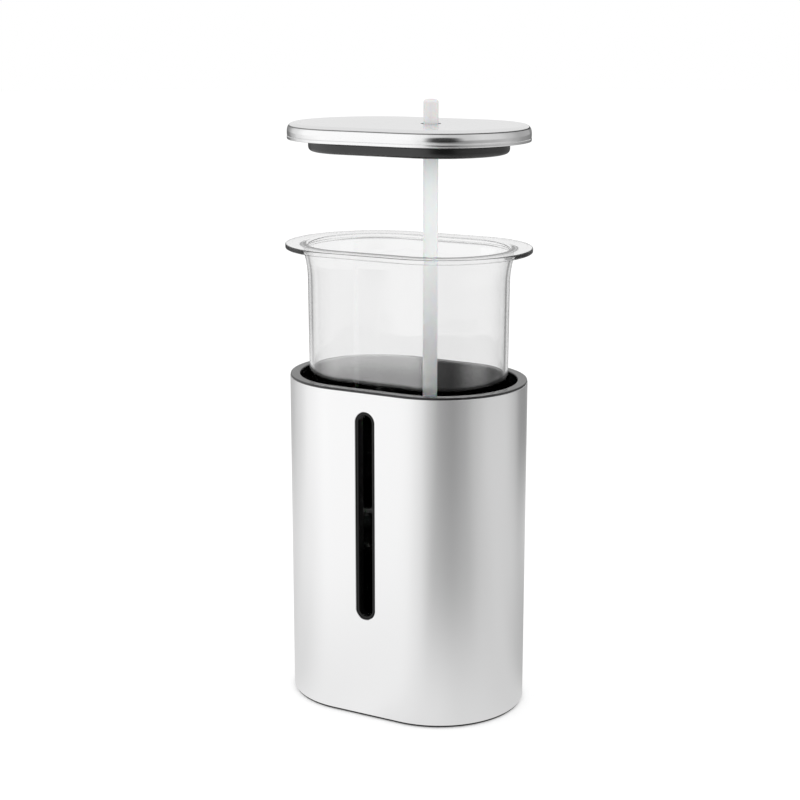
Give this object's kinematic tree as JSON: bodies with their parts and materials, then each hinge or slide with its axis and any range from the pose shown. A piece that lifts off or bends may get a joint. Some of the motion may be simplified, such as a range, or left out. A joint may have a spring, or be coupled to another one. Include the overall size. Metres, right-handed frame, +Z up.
{
  "type": "milk container",
  "caption": "Obround steel milk container for a coffee machine, with a level window, a clear lift-out tank, a steel lid and a straight suction tube, shown pulled apart.",
  "frame": {"origin": "centre of the casing's plan, on the surface that the rubber feet stand on", "axes": "+Z up along the lift of the tank and the lid, +X along the casing's long side, -Y out of the face with the level window"},
  "size_m": [0.121, 0.087, 0.2923],
  "materials": {
    "brushed_steel": "fine upright brushing",
    "black_plastic": "satin",
    "clear_plastic": "clear and polished",
    "black_silicone": "matt silicone",
    "white_silicone": "milky translucent silicone",
    "foot_rubber": "matt",
    "screw_steel": "plain"
  },
  "bodies": {
    "housing": {"outer_sleeve": "brushed_steel", "inner_liner": "black_plastic", "top_ring": "black_plastic", "window_frame": "black_plastic", "base_plate": "black_plastic", "base_foot_1": "foot_rubber", "base_foot_2": "foot_rubber", "base_foot_3": "foot_rubber", "base_foot_4": "foot_rubber", "base_screw_1": "screw_steel", "base_screw_2": "screw_steel", "base_screw_3": "screw_steel", "base_screw_4": "screw_steel"},
    "tank": {"milk_tank": "clear_plastic"},
    "lid": {"lid_cap": "brushed_steel", "lid_insert": "black_plastic", "lid_seal": "black_silicone", "tube_bush": "black_silicone"},
    "tube": {"suction_tube": "white_silicone"}
  },
  "joints": [
    {"name": "tank_lift", "type": "slide", "parent": "housing", "child": "tank", "axis": [0, 0, 1], "range_m": [-0.0607, 0.1]},
    {"name": "lid_lift", "type": "slide", "parent": "tank", "child": "lid", "axis": [0, 0, 1], "range_m": [-0.0489, 0.105]},
    {"name": "tube_slide", "type": "slide", "parent": "lid", "child": "tube", "axis": [0, 0, 1], "range_m": [-0.0025, 0.145]}
  ]
}
